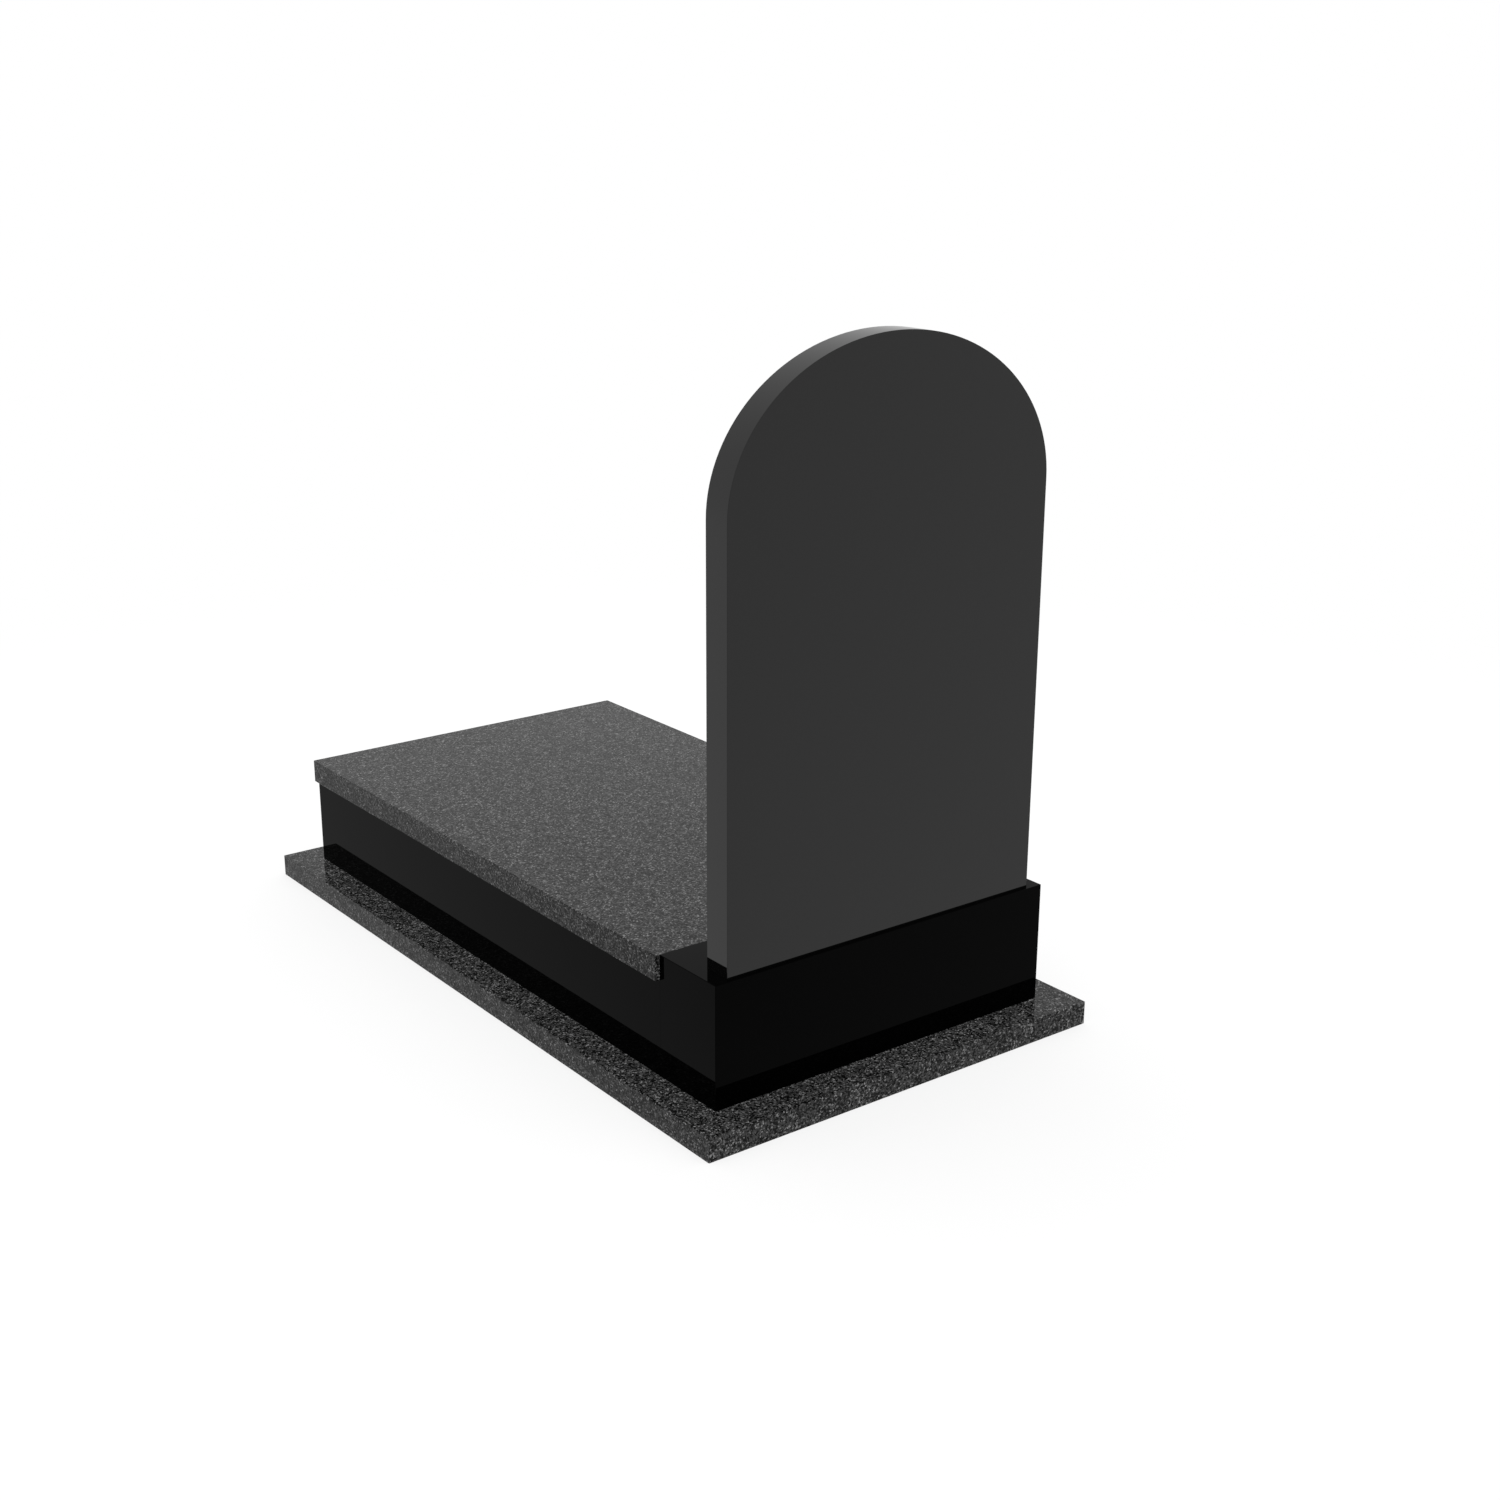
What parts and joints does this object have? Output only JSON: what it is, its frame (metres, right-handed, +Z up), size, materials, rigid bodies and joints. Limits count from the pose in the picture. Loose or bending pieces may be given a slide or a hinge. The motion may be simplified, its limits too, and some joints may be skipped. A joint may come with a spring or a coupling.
{
  "type": "headstone with grave surround",
  "caption": "Single-grave monument: round-topped upright headstone on a plinth, with a kerb frame closed by a ledger slab, on a base slab.",
  "frame": {"origin": "centre of the base slab's underside, on the ground", "axes": "+Y from the foot end to the headstone end, +Z up, +X across the grave; the headstone's front faces -Y"},
  "size_m": [1.17, 2.144, 1.7529],
  "materials": {
    "speckled_granite": "polished granite, dark grey with pale flecks",
    "black_granite": "polished black granite",
    "dark_granite": "even, fine-grained dark granite, polished, so that it mirrors its surroundings as a dark grey"
  },
  "bodies": {
    "root": {"base_slab": "speckled_granite", "kerb_left": "black_granite", "kerb_right": "black_granite", "kerb_foot": "black_granite", "plinth": "black_granite", "ledger": "speckled_granite", "headstone": "dark_granite"}
  },
  "joints": []
}
